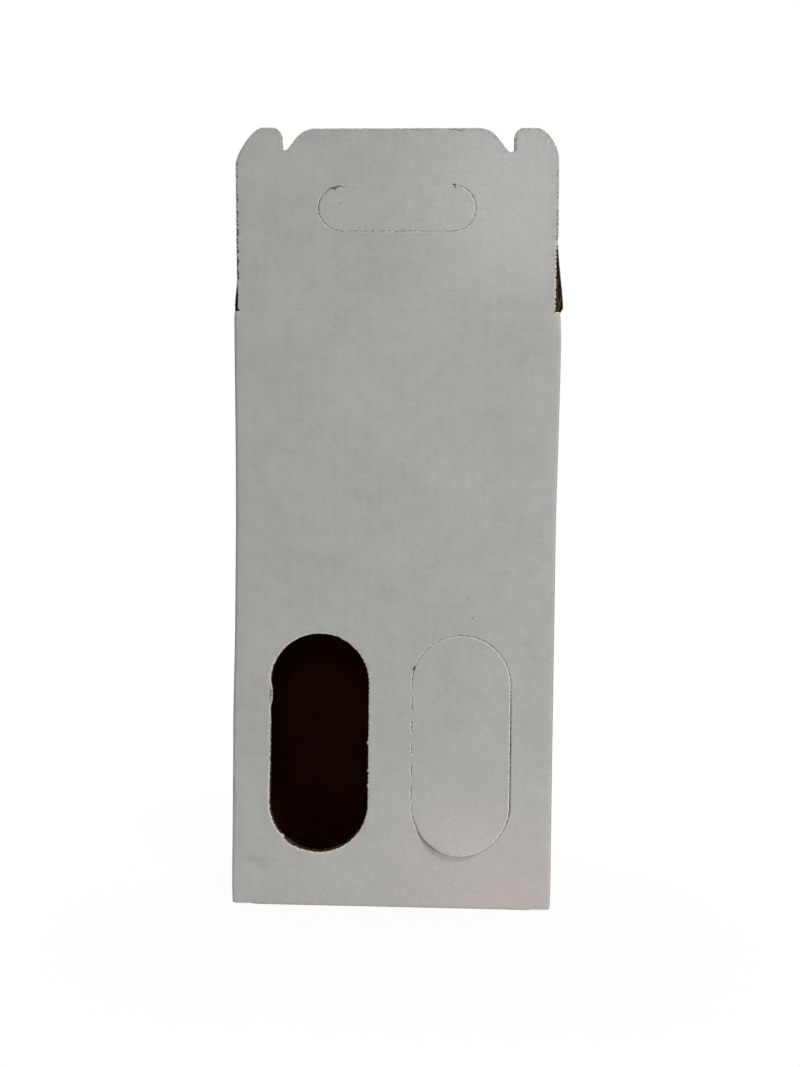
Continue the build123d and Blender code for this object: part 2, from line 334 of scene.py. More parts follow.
# One paper liner as a thin solid; near is its depth in the board, far the depth of its other side
def addLiner(shape, loops, place, near, far, grid, rings, crush, lip, skins):
    flat, triangles = triangulate(loops, *grid, rings)
    toCut, mark = nearestEdge(flat, loops, True)
    pressed = crush * np.exp(-((toCut / board["crushReach"]) ** 2))
    pressed -= lip * np.exp(-(((toCut - board["lipAt"]) / board["lipReach"]) ** 2))
    fromMark = toCut - np.where(mark < 0, board["lipAt"], 0)
    shown = np.abs(mark) * np.exp(-((fromMark / board["markReach"]) ** 2))
    top = addPoints(shape, place, flat, near + pressed, toCut, shown)
    low = addPoints(shape, place, flat, far + pressed, toCut, shown)
    addFaces(shape, triangles + top, skins[0])
    addFaces(shape, triangles[:, ::-1] + low, skins[1])
    border = borderOf(triangles)
    a, b = border[:, 0], border[:, 1]
    addFaces(shape, np.column_stack((b + top, a + top, a + low, b + low)), skins[2])


# The wavy sheet between the liners, as ribbons that run up the flutes: one for each stretch without a gap,
# with more points close to its ends, where it is squeezed, and at the heights in stops
def addFluting(shape, loops, place, stops, recess, material):
    least, most = loops[0][0][:, 0].min(), loops[0][0][:, 0].max()
    step = board["flutePitch"] / board["stepsPerFlute"]
    columns = np.arange(least + recess, most - recess + step / 2, step)
    half = board["medium"] / 2
    swing = board["thickness"] / 2 - board["liner"] - half
    runs, last = [], None
    for column in columns:
        crossings = []
        for loop, *_ in loops:
            a, b = loop, np.roll(loop, -1, 0)
            hit = (a[:, 0] > column) != (b[:, 0] > column)
            t = (column - a[hit, 0]) / (b[hit, 0] - a[hit, 0])
            crossings += list(a[hit, 1] + t * (b[hit, 1] - a[hit, 1]))
        crossings.sort()
        spans = [(p + recess, q - recess) for p, q in zip(crossings[::2], crossings[1::2])
                 if q - p > board["shortestFlute"]]
        depth = board["thickness"] / 2 + swing * math.sin(2 * math.pi * column / board["flutePitch"])
        if last is None or len(last[0][1]) != len(spans):
            last = []
            runs.append(last)
        last.append((column, spans, depth))
    for run in runs:
        if len(run) < 2 or not run[0][1]:
            continue
        for k in range(len(run[0][1])):
            inner = [s for s in stops if any(spans[k][0] + 2 < s < spans[k][1] - 2 for _, spans, _ in run)]
            levels, nudge = len(inner) + 6, 0.01 * np.arange(len(inner))
            flat, depths = [], []
            for column, spans, depth in run:
                low, high = spans[k]
                between = np.clip(inner, low + 1.6, high - 1.8 - nudge[-1:].sum()) + nudge
                heights = [low, low + 0.6, low + 1.5, *between, high - 1.5, high - 0.6, high]
                for sign in (-1, 1):
                    flat += [(column, v) for v in heights]
                    depths += [depth + sign * half] * levels
            flat, depths = np.array(flat), np.array(depths)
            toCut, _ = nearestEdge(flat, loops, True)
            pressed = np.exp(-((toCut / board["squeezeReach"]) ** 2))
            share = np.clip((depths - board["liner"]) / (board["thickness"] - 2 * board["liner"]), 0, 1)
            depths += pressed * (board["crush"] * (1 - share) - board["innerCrush"] * share)
            start = addPoints(shape, place, flat, depths, toCut, 0 * toCut)
            faces = []
            for i in range(len(run) - 1):
                p, q = start + i * 2 * levels, start + (i + 1) * 2 * levels
                for j in range(levels - 1):
                    faces.append((p + j, q + j, q + j + 1, p + j + 1))
                    faces.append((p + levels + j, p + levels + j + 1, q + levels + j + 1, q + levels + j))
                top = levels - 1
                faces.append((p, p + levels, q + levels, q))
                faces.append((p + top, q + top, q + levels + top, p + levels + top))
            end = start + (len(run) - 1) * 2 * levels
            for j in range(levels - 1):
                faces.append((start + j, start + j + 1, start + levels + j + 1, start + levels + j))
                faces.append((end + j, end + levels + j, end + levels + j + 1, end + j + 1))
            addFaces(shape, faces, material)


def finishShape(name, shape, materials, sheetShift, sheetScale):
    mesh = bpy.data.meshes.new(name)
    places = np.vstack(shape["places"])
    mesh.from_pydata(places.tolist(), [], shape["faces"])
    mesh.update()
    for material in materials:
        mesh.materials.append(material)
    mesh.polygons.foreach_set("material_index", np.array(shape["materials"], np.int32))
    mesh.polygons.foreach_set("use_smooth", np.ones(len(mesh.polygons), bool))
    flat = np.vstack(shape["flat"]) * (sheetScale, 1, 1) + (*sheetShift, 0)
    sheet = mesh.attributes.new("sheet", "FLOAT_VECTOR", "POINT")
    sheet.data.foreach_set("vector", (flat * 0.001).astype(np.float32).ravel())
    for title, values in (("cutDistance", shape["cut"]), ("cutShadeAmount", shape["marks"])):
        attribute = mesh.attributes.new(title, "FLOAT", "POINT")
        attribute.data.foreach_set("value", np.concatenate(values).astype(np.float32))
    mesh.set_sharp_from_angle(angle=math.radians(board["sharpAngle"]))
    mesh.validate()
    piece = bpy.data.objects.new(name, mesh)
    bpy.context.scene.collection.objects.link(piece)
    return piece


# A piece of corrugated board: white liner, fluting and brown liner
def boardPiece(name, whiteLoops, brownLoops, place, grid, stops=(), sheetShift=(0, 0), skins=None,
               sheetScale=1.0):
    shape = newShape()
    thick, liner = board["thickness"], board["liner"]
    white, brown, core, rim = 0, 1, 2, 3  # places in the list of skins
    whiteRings, brownRings = (0.32, board["lipAt"], 1.4), (0.5, 1.3)  # lines of points beside a cut
    addLiner(shape, whiteLoops, place, 0, liner, grid, whiteRings,
             board["crush"], board["lip"], (white, core, rim))
    addLiner(shape, brownLoops, place, thick - liner, thick, grid, brownRings,
             -board["innerCrush"], 0, (core, brown, core))
    addFluting(shape, brownLoops, place, stops, board["mediumRecess"], core)
    return finishShape(name, shape, skins or boardSkins, sheetShift, sheetScale)


print("mixing the materials")


def hexColour(code):
    parts = [int(code[i:i + 2], 16) / 255 for i in (1, 3, 5)]
    return [c / 12.92 if c <= 0.04045 else ((c + 0.055) / 1.055) ** 2.4 for c in parts] + [1.0]


# Adds a shader node with its settings; each input is a plain value, a socket or the node before it
def addNode(tree, kind, inputs=(), **settings):
    node = tree.nodes.new("ShaderNode" + kind)
    for name, value in settings.items():
        setattr(node, name, value)
    for name, value in inputs.items() if isinstance(inputs, dict) else enumerate(inputs):
        if isinstance(value, bpy.types.Node):
            value = next(socket for socket in value.outputs if socket.enabled)
        if isinstance(value, bpy.types.NodeSocket):
            tree.links.new(value, node.inputs[name])
        else:
            node.inputs[name].default_value = value
    return node


def newMaterial(name):
    material = bpy.data.materials.new(name)
    material.use_nodes = True
    material.node_tree.nodes.clear()
    return material, material.node_tree


# Ends a paper's material; relief is the depth of its unevenness in metres
def finishPaper(tree, colour, roughness, specular, height, relief):
    normal = addNode(tree, "Bump", {"Strength": 0.6, "Distance": relief, "Height": height})
    shader = addNode(tree, "BsdfPrincipled", {"Base Color": colour, "Roughness": roughness,
                                              "Specular IOR Level": specular, "Normal": normal})
    addNode(tree, "OutputMaterial", {"Surface": shader})


# The place on the flat sheet in millimetres; a stretch above 1 packs a pattern closer in that direction
def sheetPlace(tree, stretch=(1, 1, 1)):
    sheet = addNode(tree, "Attribute", attribute_name="sheet").outputs["Vector"]
    return addNode(tree, "VectorMath", [sheet, [1000 * s for s in stretch]], operation="MULTIPLY")


# Height of a liner over the flutes, one wave for each flute
def washboard(tree, place):
    across = addNode(tree, "SeparateXYZ", [place]).outputs[0]
    turns = addNode(tree, "Math", [across, 2 * math.pi / board["flutePitch"]], operation="MULTIPLY")
    return addNode(tree, "Math", [turns], operation="SINE")


# Colours of the papers, and marks on the front; sizes in mm
paper = {
    "whiteDark": "#979894",
    "whiteLight": "#b1b1ad",
    "whiteFibre": "#8a897f",
    "lipHighlight": "#d5d5d3",
    "speck": "#5d574d",
    "notchShadeColour": "#3a3530",
    "handled": "#8b8b85",
    "pink": "#b9a6a6",
    "paintedFootLight": "#c0bab5",
    "pale": "#c3c3c0",
    "green": "#7f8475",
    "rightFoldShade": "#79746b",
    "peeled": "#655648",
    "torn": "#2e2620",
    "brownDark": "#5f432b",
    "brownLight": "#8a6844",
    "deepShadeDark": "#241006",
    "deepShadeLight": "#44210b",
    "deepShadeBelow": (150, 300),  # painted shade: the brown darkens down the inside between these heights
    "flutingDark": "#1c1009",
    "flutingLight": "#63482f",
    "coreDark": "#352a20",
    "coreLight": "#84755f",
    "whiteBase": -0.89,
    "whiteShares": (0.6, 0.62, 0.76, 0.8, 0.018),  # clouds, blots, mottle, fibres and ribs in the tone
    "brownBase": -0.2,
    "brownShares": (0.6, 0.7, 0.05),  # clouds, fibres and ribs
    "cloudSize": 42,  # sizes of the mottling of the white ply
    "blotSize": 9,
    "mottleSize": 2.2,
    "fibreSize": 0.9,  # real fibres are about 0.5 mm, drawn coarser so that they show
    "brownCloudSize": 28,
    "brownFibreSize": 0.6,
    "edgeSize": 0.55,
    "smallUneven": (1.1, 0.7, 2.0),  # size, reach and detail of the noise at the edges of small marks
    "largeUneven": (7, 7.0, 3.0),
    "largeFrom": 2.5,  # a mark with a larger half width is a large one
    "specks": [  # across, height, size, strength
        (-13.5, 413.2, 0.45, 0.35), (-64.8, 292.2, 0.5, 0.35), (28.6, 343.6, 0.4, 0.3),
        (-8.4, 223.0, 0.45, 0.35), (32.3, 211.2, 0.45, 0.4), (-50.8, 215.3, 0.4, 0.3),
        (-40.5, 187.0, 0.4, 0.3), (41.6, 173.0, 0.5, 0.4), (35.2, 169.3, 0.45, 0.4),
        (44.4, 162.4, 0.8, 0.5), (2.7, 112.3, 0.45, 0.35), (46.1, 108.6, 0.4, 0.3),
        (74.7, 78.5, 0.45, 0.35), (12.0, 133.8, 0.7, 0.7), (87.0, 176.3, 0.8, 0.5),
        (31.1, 400.4, 0.8, 0.9), (-33.7, 399.0, 0.9, 0.9),
    ],
    "smudges": [  # across, height, half width, half height, colour, strength
        (-88.6, 65.5, 2.1, 5.5, "green", 0.6), (-86.6, 59.5, 1.6, 2.6, "green", 0.4),
        (-75.0, 25.8, 8.0, 2.7, "handled", 0.45), (-70.0, 22.4, 4.0, 2.6, "handled", 0.35),
        # the two large pale patches low on the front are painted light, lighter towards the foot
        (14.0, 20.0, 78.0, 60.0, "paintedFootLight", 0.2), (50.0, 24.0, 60.0, 80.0, "paintedFootLight", 0.22),
        (62.0, 398.0, 52.0, 62.0, "pale", 0.36),
        (76.0, 16.0, 40.0, 30.0, "pink", 0.24), (50.0, 8.0, 26.0, 12.0, "pink", 0.16),
        # the entry on the right fold, at 89.3 across, is painted shade where the fold turns from the light
        (-30.2, 391.4, 1.4, 0.4, "torn", 0.5), (89.3, 112.0, 1.3, 240.0, "rightFoldShade", 0.7),
        (-67.6, 118.5, 0.9, 7.5, "peeled", 1.2), (-68.0, 92.0, 0.7, 22.0, "peeled", 0.9),
        (32.5, 430.6, 4.2, 0.6, "torn", 0.5), (8.9, 431.3, 6.0, 0.3, "torn", 0.45),
    ],
}

tint = {name: hexColour(code) for name, code in paper.items() if isinstance(code, str)}


# Bleached kraft top ply on brown board, calendered and uncoated: matt, cloudy, faintly ribbed
def whiteTopLiner():
    material, tree = newMaterial("whiteTopLiner")
    place = sheetPlace(tree)
    clouds = addNode(tree, "TexNoise", {"Vector": place, "Scale": 1 / paper["cloudSize"], "Detail": 3.0})
    blots = addNode(tree, "TexNoise", {"Vector": place, "Scale": 1 / paper["blotSize"], "Detail": 3.0,
                                       "Roughness": 0.55})
    mottle = addNode(tree, "TexNoise", {"Vector": place, "Scale": 1 / paper["mottleSize"], "Detail": 4.0,
                                        "Roughness": 0.65})
    fibres = addNode(tree, "TexNoise", {"Vector": sheetPlace(tree, (0.7, 1.3, 1)),
                                        "Scale": 1 / paper["fibreSize"], "Detail": 4.0})
    ribs = washboard(tree, place)
    tone = paper["whiteBase"]
    for layer, share in zip((clouds, blots, mottle, fibres, ribs), paper["whiteShares"]):
        tone = addNode(tree, "Math", [layer, share, tone], operation="MULTIPLY_ADD")
    colour = addNode(tree, "Mix", {0: tone, 6: tint["whiteDark"], 7: tint["whiteLight"]}, data_type="RGBA")
    # scattered brown fibres in the pulp, about 0.3 mm
    cells = addNode(tree, "TexVoronoi", {"Vector": sheetPlace(tree, (0.8, 1.3, 1)), "Scale": 1 / 9.0})
    dot = addNode(tree, "MapRange", [cells.outputs["Distance"], 0.012, 0.034, 0.45, 0.0])
    some = addNode(tree, "SeparateXYZ", [cells.outputs["Color"]])
    some = addNode(tree, "Math", [some, 0.62], operation="GREATER_THAN")
    dot = addNode(tree, "Math", [dot, some], operation="MULTIPLY")
    colour = addNode(tree, "Mix", {0: dot, 6: colour, 7: tint["whiteFibre"]}, data_type="RGBA")
    # noise makes the edges of the marks uneven; on average it adds half its reach, and so do the middles
    uneven = []
    for size, reach, detail in (paper["smallUneven"], paper["largeUneven"]):
        noise = addNode(tree, "TexNoise", {"Vector": place, "Scale": 1 / size, "Detail": detail})
        moved = addNode(tree, "VectorMath", [noise.outputs["Color"], (reach, reach, 0.0), place],
                        operation="MULTIPLY_ADD")
        uneven.append((moved, reach / 2))
    for across, height, half, tall, name, strength in paper["smudges"]:
        moved, added = uneven[half > paper["largeFrom"]]
        middle = (across + added, height + added, 0)
        offset = addNode(tree, "VectorMath", [moved, middle], operation="SUBTRACT")
        offset = addNode(tree, "VectorMath", [offset, (1 / half, 1 / tall, 0.3)], operation="MULTIPLY")
        reach = addNode(tree, "VectorMath", [offset], operation="LENGTH").outputs["Value"]
        mask = addNode(tree, "MapRange", [reach, 0.15, 1.35, strength, 0.0],
                       interpolation_type="SMOOTHSTEP")
        patchy = addNode(tree, "Math", [mottle, 1.6, 0.1], operation="MULTIPLY_ADD")
        mask = addNode(tree, "Math", [mask, patchy], operation="MULTIPLY", use_clamp=True)
        colour = addNode(tree, "Mix", {0: mask, 6: colour, 7: tint[name]}, data_type="RGBA")
    moved, added = uneven[0]
    for across, height, size, strength in paper["specks"]:
        middle = (across + added, height + added, 0)
        reach = addNode(tree, "VectorMath", [moved, middle], operation="DISTANCE")
        mask = addNode(tree, "MapRange", [reach, 0.4 * size, size, strength, 0.0])
        colour = addNode(tree, "Mix", {0: mask, 6: colour, 7: tint["speck"]}, data_type="RGBA")
    # within 0.85 mm of a cut the white is painted lighter in places, a painted highlight of the burr and its
    # lifted fibres catching the light; the notches of the knife's teeth get painted shade
    cut = addNode(tree, "Attribute", attribute_name="cutDistance").outputs["Fac"]
    paintedHighlight = addNode(tree, "MapRange", [cut, 0.25, 0.85, 0.85, 0.0])
    broken = addNode(tree, "TexNoise", {"Vector": place, "Scale": 1 / 1.2, "Detail": 2.0})
    broken = addNode(tree, "MapRange", [broken, 0.42, 0.58, 0.15, 1.0])
    paintedHighlight = addNode(tree, "Math", [paintedHighlight, broken], operation="MULTIPLY")
    colour = addNode(tree, "Mix", {0: paintedHighlight, 6: colour, 7: tint["lipHighlight"]}, data_type="RGBA")
    # painted shade, darkest in the notches of the cuts
    mark = addNode(tree, "Attribute", attribute_name="cutShadeAmount").outputs["Fac"]
    colour = addNode(tree, "Mix", {0: mark, 6: colour, 7: tint["notchShadeColour"]}, data_type="RGBA")
    height = addNode(tree, "Math", [fibres, 0.3, mottle], operation="MULTIPLY_ADD")
    height = addNode(tree, "Math", [ribs, 0.9, height], operation="MULTIPLY_ADD")
    rough = addNode(tree, "Math", [mottle, 0.12, 0.76], operation="MULTIPLY_ADD")
    finishPaper(tree, colour, rough, specular=0.22, height=height, relief=0.000018)
    return material


# Unbleached kraft, the dull brown inside of the board, its flutes showing as soft ribs. Where it is deep, it
# is painted darker by height, because the photo shows almost nothing inside; real kraft is one colour.
def brownKraftLiner(name, isDeep):
    material, tree = newMaterial(name)
    place = sheetPlace(tree)
    fibres = addNode(tree, "TexNoise", {"Vector": sheetPlace(tree, (0.4, 1.6, 1)),
                                        "Scale": 1 / paper["brownFibreSize"], "Detail": 4.0})
    clouds = addNode(tree, "TexNoise", {"Vector": place, "Scale": 1 / paper["brownCloudSize"],
                                        "Detail": 3.0})
    ribs = washboard(tree, place)
    tone = paper["brownBase"]
    for layer, share in zip((clouds, fibres, ribs), paper["brownShares"]):
        tone = addNode(tree, "Math", [layer, share, tone], operation="MULTIPLY_ADD")
    colour = addNode(tree, "Mix", {0: tone, 6: tint["brownDark"], 7: tint["brownLight"]}, data_type="RGBA")
    # painted shade: the deep brown darkens towards the bottom of the inside
    if isDeep:
        low, high = paper["deepShadeBelow"]
        up = addNode(tree, "SeparateXYZ", [place]).outputs[1]
        depth = addNode(tree, "MapRange", [up, low, high, 1.0, 0.0], interpolation_type="SMOOTHSTEP")
        dark = addNode(tree, "Mix", {0: tone, 6: tint["deepShadeDark"], 7: tint["deepShadeLight"]}, data_type="RGBA")
        colour = addNode(tree, "Mix", {0: depth, 6: colour, 7: dark}, data_type="RGBA")
    height = addNode(tree, "Math", [fibres, 0.25, ribs], operation="MULTIPLY_ADD")
    rough = addNode(tree, "Math", [fibres, 0.1, 0.82], operation="MULTIPLY_ADD")
    finishPaper(tree, colour, rough, specular=0.03 if isDeep else 0.2, height=height, relief=0.00008)
    return material


# Paper edges, chewed by the knife: recycled fluting, dusty and a little crushed, or pulp under the white ply
def cutPaper(name, dark, light):
    material, tree = newMaterial(name)
    chewed = addNode(tree, "TexNoise", {"Vector": sheetPlace(tree), "Scale": 1 / paper["edgeSize"],
                                        "Detail": 3.0, "Roughness": 0.7})
    share = addNode(tree, "MapRange", [chewed, 0.3, 0.7, 0.0, 1.0])
    colour = addNode(tree, "Mix", {0: share, 6: tint[dark], 7: tint[light]}, data_type="RGBA")
    finishPaper(tree, colour, 0.9, specular=0.12, height=chewed, relief=0.00008)
    return material


whiteTop = whiteTopLiner()
fluting = cutPaper("recycledFluting", "flutingDark", "flutingLight")
pulp = cutPaper("cutPulp", "coreDark", "coreLight")
insideBrown = brownKraftLiner("brownKraftInside", True)
boardSkins = [whiteTop, insideBrown, fluting, pulp]
flapSkins = [whiteTop, brownKraftLiner("brownKraftFlaps", False), fluting, pulp]
plainSkins = [insideBrown, insideBrown, fluting, fluting]

print("folding the walls")


# Slow waves of a sheet that is never quite flat, the same on both sides of a crease
def bow(across, height, half):
    wave = np.sin(across / 31 + 0.7) * np.sin(height / 47 + 0.4) + 0.6 * np.sin(height / 83 + across / 120)
    return carton["bow"] * wave * smoothStep((half - np.abs(across)) / carton["bowRun"])


# The scored line at the foot of the top panels: a faint dent outside, a deep valley inside
def scored(depth, above):
    share = depth / board["thickness"]
    dent = board["creaseDepth"] * np.exp(-((above / board["creaseReach"]) ** 2)) * (1 - share)
    valley = board["creaseValley"] * np.exp(-((above / board["valleyReach"]) ** 2)) * share
    return depth + dent - valley


# Folds the flat sheet of walls round the carton; u runs along the walls, v up them, depth inwards
def wallPlace(u, v, depth):
    u, v = np.asarray(u, float), np.asarray(v, float)
    depth = scored(np.asarray(depth, float) + 0 * u, v - shoulder)
    turn = np.clip((footRound - v) / footRound, 0, math.pi / 2)
    height = np.where(v < footRound, footRound * (1 - np.sin(turn)) + depth * np.sin(turn), v)
    inset = np.where(v < footRound, footRound * (1 - np.cos(turn)) + depth * np.cos(turn), depth)
    rise = (v - carton["flareHeight"]) / (shoulder - carton["flareHeight"])
    flare = carton["mouthFlare"] * np.clip(rise, 0, 1)
    share = inset / board["thickness"]
    shift, radius = centreShift * share, foldRound + (carton["foldInside"] - foldRound) * share
    x, y = np.zeros_like(u), np.zeros_like(u)

    run = carton["squeezeRun"]

    def squeezed(s, half):  # the inner layers are a little shorter near a fold
        return s - np.sign(s) * shift * smoothStep((np.abs(s) - half + run) / run)

    front = np.abs(u) <= flatFront
    s = u * (flatFront + flare) / flatFront
    x[front] = squeezed(s, flatFront + flare)[front]
    y[front] = (-halfDepth + inset + bow(x, v, flatFront + flare))[front]
    sides = np.where(u > 0, 1.0, -1.0)
    corner = (np.abs(u) > flatFront) & (np.abs(u) <= sideStart)
    angle = (np.abs(u) - flatFront) / foldRound
    x[corner] = (sides * (flatFront + flare - shift + radius * np.sin(angle)))[corner]
    y[corner] = (-(flatSide - shift) - radius * np.cos(angle))[corner]
    side = (u > sideStart) & (u <= sideMiddle + flatSide) | (u < -sideStart)
    s = np.abs(u) - sideMiddle
    along = np.where(u < 0, np.where(s < 0, squeezed(s, flatSide), s), squeezed(s, flatSide))
    x[side] = (sides * (halfWidth + flare - inset - bow(along, v, flatSide)))[side]
    y[side] = along[side]
    corner = (u > sideMiddle + flatSide) & (u <= backStart)
    angle = (u - sideMiddle - flatSide) / foldRound
    x[corner] = (flatFront + flare - shift + radius * np.cos(angle))[corner]
    y[corner] = (flatSide - shift + radius * np.sin(angle))[corner]
    back = (u > backStart) & (u <= seamFold)
    s = backMiddle - u
    s = np.where(s > 0, s * (flatFront + flare) / flatFront, s * (backFlatEnd + flare) / backFlatEnd)
    s = np.where(s > 0, squeezed(s, flatFront + flare), squeezed(s, backFlatEnd + flare))
    x[back] = s[back]
    y[back] = (halfDepth - inset - bow(x, v, backFlatEnd))[back]
    corner = (u > seamFold) & (u <= stripStart)
    angle = (u - seamFold) / foldRound
    x[corner] = (-(backFlatEnd + flare - shift) - radius * np.sin(angle))[corner]
    y[corner] = (flatSide - shift + radius * np.cos(angle))[corner]
    strip = u > stripStart
    s = flatSide - (u - stripStart)
    x[strip] = (-(innerHalfWidth + flare) + inset + carton["seamGlue"])[strip]
    y[strip] = (s - shift * smoothStep(1 - (u - stripStart) / run))[strip]
    right = np.interp(height, carton["swellHeights"], carton["swellRight"])
    left = np.interp(height, carton["swellHeights"], carton["swellLeft"])
    swell = smoothStep((np.abs(x) - carton["swellFrom"]) / carton["swellRun"])
    x = x + np.where(x > 0, right, -left) * swell
    return np.column_stack((x, y, height)) * 0.001


# The windows, low in the front wall
window = {
    "halfWidth": 27.45,
    "halfHeight": 61.0,
    "middle": 91.5,
    "left": -40.6,
    "right": 38.4,
    "knifeGap": 0.15,
    "ties": [(56.7, 60.6), (67.8, 73.4), (80.1, 85.7), (91.8, 97.9), (104.6, 110.2), (118.0, 121.9)],
    "toothPitch": 1.2,
    "leftTooth": 0.65,  # depth of the tooth marks
    "rightTooth": 0.14,
    "panelTooth": 0.1,
    "step": 0.34,  # spacing of the points along the white cut, then along the brown one
    "brownStep": 0.7,
    "tornStep": 0.2,  # the same for the torn-out window
    "raggedStep": 0.45,
    # where the cuts stray: across, height, half length, how far into the board, darkness of painted shade
    "leftStrays": [(-13.15, 91.9, 1.0, -0.8, 0.0), (-13.15, 76.3, 0.8, -0.5, 0.0),
                   (-13.15, 67.9, 0.7, -0.6, 0.0), (-13.15, 52.8, 0.6, -0.5, 0.0),
                   (-68.0, 118.5, 6.0, -1.2, 0.2), (-68.0, 92.0, 19.0, -0.35, 0.1),
                   (-60.6, 39.6, 1.2, -0.9, 0.0), (-56.0, 36.0, 4.0, 0.4, 0.2)],
    "rightStrays": [(65.85, 72.0, 24.0, 0.12, 0.5), (65.85, 105.0, 16.0, 0.1, 0.4),
                    (24.5, 34.5, 9.0, 0.35, 0.2), (38.0, 30.5, 9.0, 0.2, 0.2),
                    (12.0, 133.8, 1.5, 0.25, 2.0)],
    # the right panel stands out at its lower left, growing from its folded side
    "proud": {"at": (32.0, 29.0), "reach": (24.0, 17.0), "by": 3.7, "run": 6},
}

# The bottom flaps, each lying on the last
bottom = {
    "frontHalf": 77.7,
    "sideFront": -42.0,
    "sideBack": 28.0,
    "backHalf": 79.7,
    "layer": 3.2,
    "root": -5.0,  # where the tongue leaves the front flap
    "tongueHalf": 24.0,
    "tongueTop": 13.0,
    "tongueEnd": 31.0,
    "sideTip": 28.7,
    "sideTipBack": -12.0,
    "backEdge": -15.0,
    "notchHalf": 27.0,
    "notchEnd": 14.7,
    "backRampEnd": 30.0,
    "cornerCut": 9.0,
}

# The top panels with their ears, hook notches and hand holes
topPanel = {
    "half": 87.8,
    "height": 99.5,
    "lean": 2.5,
    "earSide": 64.2,
    "earInnerRound": 5.0,
    "notchRound": 1.9,
    "notchSlope": 51.5,
    "topRound": 13.5,
    # the sides of the front panel: half its width at the foot and above it, then the ear
    "left": {"foot": 88.6, "footTop": 11, "edge": 89.3, "spread": 0.6,
             "notchDepth": 11.6, "rise": 0.6, "flat": 74.9, "drop": 20.0, "fullness": 0.35},
    "right": {"foot": 88.3, "footTop": 34, "edge": 89.3, "spread": -0.4,
              "notchDepth": 13.0, "rise": 0.0, "flat": 76.2, "drop": 18.0, "fullness": 0.46},
    "toothPitch": 2.4,
    "toothDepth": 0.2,
    "step": 0.4,
    "brownStep": 0.8,
    "handPitch": 1.6,
    "handDepth": 0.1,
    "handHalfWidth": 43.55,
    "handRadius": 12.5,
    "handMiddle": 56.3,
    "hinge": (-29.5, 31.05),
    "handBends": (66.4, 67.1, 67.5, 67.8, 68.1, 68.4),  # heights of close rows of points under its top line
    "handSink": 0.012,  # the hand panel leans in by this share of the way down from its fold
    # nicks of the front hand hole, given as for the windows
    "handStrays": [(-29.5, 68.6, 2.4, -0.7, 0.4), (-34.2, 67.7, 2.2, -0.9, 1.0),
                   (-38.0, 66.3, 3.0, -0.3, 0.3), (-43.5, 58.0, 7.0, 0.1, 0.2),
                   (31.3, 68.0, 0.9, 0.3, 3.0)],
}


# Outline of a window, from the bottom of its right side; its left side is uncut at the heights of the ties
def windowLoop(middle, ties, inset, step):
    half, tall = window["halfWidth"] - inset, window["halfHeight"] - inset
    side, fold = middle - half, middle - window["halfWidth"]
    straight = tall - half
    low, high = window["middle"] - straight, window["middle"] + straight
    runs = [
        ([(middle + half, low), (middle + half, high)], True, step),
        (arcPath((middle, high), half, 0, 180), True, step),
    ]
    top = high
    for start, end in reversed(ties):
        runs.append(([(side, top), (side, end)], True, step))
        if inset:
            runs.append(([(side, end), (fold, end)], True, step))
            runs.append(([(fold, end), (fold, start)], False, step))
            runs.append(([(fold, start), (side, start)], True, step))
        else:
            runs.append(([(side, end), (side, start)], False, step))
        top = start
    runs.append(([(side, top), (side, low)], True, step))
    runs.append((arcPath((middle, low), half, 180, 360), True, step))
    return outline(runs)


# Outline of the sheet of walls: folded where a flap hangs on it, and cut a little short between the flaps
def wallEdge():
    foot, top = footEdge, shoulder - crease  # heights of the folds
    cutFoot, cutTop = 0.4, shoulder - 0.2  # heights of the cuts between them
    tab = (topPanel["half"] + carton["tabSpare"]) * mouthToSheet
    backTab = topPanel["half"] * mouthToSheet
    leftEnd = -(sideMiddle + halfDepth - carton["seamRecess"])
    corners = [(leftEnd, cutFoot)]
    for start, end in ((-sideMiddle - bottom["sideBack"], -sideMiddle - bottom["sideFront"]),
                       (-bottom["frontHalf"], bottom["frontHalf"]),
                       (sideMiddle + bottom["sideFront"], sideMiddle + bottom["sideBack"]),
                       (backMiddle - bottom["backHalf"], backMiddle + bottom["backHalf"])):
        corners += [(start, cutFoot), (start, foot), (end, foot), (end, cutFoot)]
    stripEnd = stripStart + flatSide - (innerHalfDepth - carton["seamWidth"])
    stripFold, seamFoot, seamTop, slant = stripStart + 0.6, carton["seamFoot"], carton["seamTop"], 8
    corners += [(stripFold, cutFoot), (stripFold, seamFoot), (stripEnd, seamFoot + slant),
                (stripEnd, seamTop - slant), (stripFold, seamTop), (stripFold, cutTop)]
    for start, end in ((seamFold - 0.4, backMiddle - backTab),
                       (sideMiddle + flatSide, sideMiddle - flatSide),
                       (tab, -tab),
                       (-sideMiddle + flatSide, -sideMiddle - flatSide)):
        corners += [(start, cutTop), (start, top), (end, top), (end, cutTop)]
    corners += [(leftEnd, cutTop), (leftEnd, cutFoot)]
    runs = []
    for a, b in zip(corners, corners[1:]):
        isFold = a[1] == b[1] and a[1] in (foot, top)
        runs.append(([a, b], not isFold, 1.0 if a[1] == b[1] else 1.5))
    return outline(runs)


# Columns and rows of points on the walls, with close ones where they fold
columnStep, rowStep = 6.0, 8.0
wallColumns = [np.arange(-flatFront + 3, flatFront, columnStep)]
for start in (-sideStart, flatFront, sideMiddle + flatSide, seamFold):
    wallColumns.append(np.linspace(start, start + foldArc, 7))
for start, end in ((sideStart + 3, sideMiddle + flatSide), (backStart + 3, seamFold),
                   (stripStart + 3, stripStart + 30), (-sideMiddle - flatSide, -sideStart)):
    wallColumns.append(np.arange(start, end, columnStep))
wallColumns = np.unique(np.round(np.concatenate(wallColumns), 4))
wallRows = np.concatenate((np.arange(10, 210, rowStep), [215], np.arange(223, shoulder - 4, rowStep)))
wallBends = np.concatenate((np.linspace(footEdge, footRound, 8), [3.5, 6.0],
                            shoulder - np.array([3.2, 2.2, 1.7])))

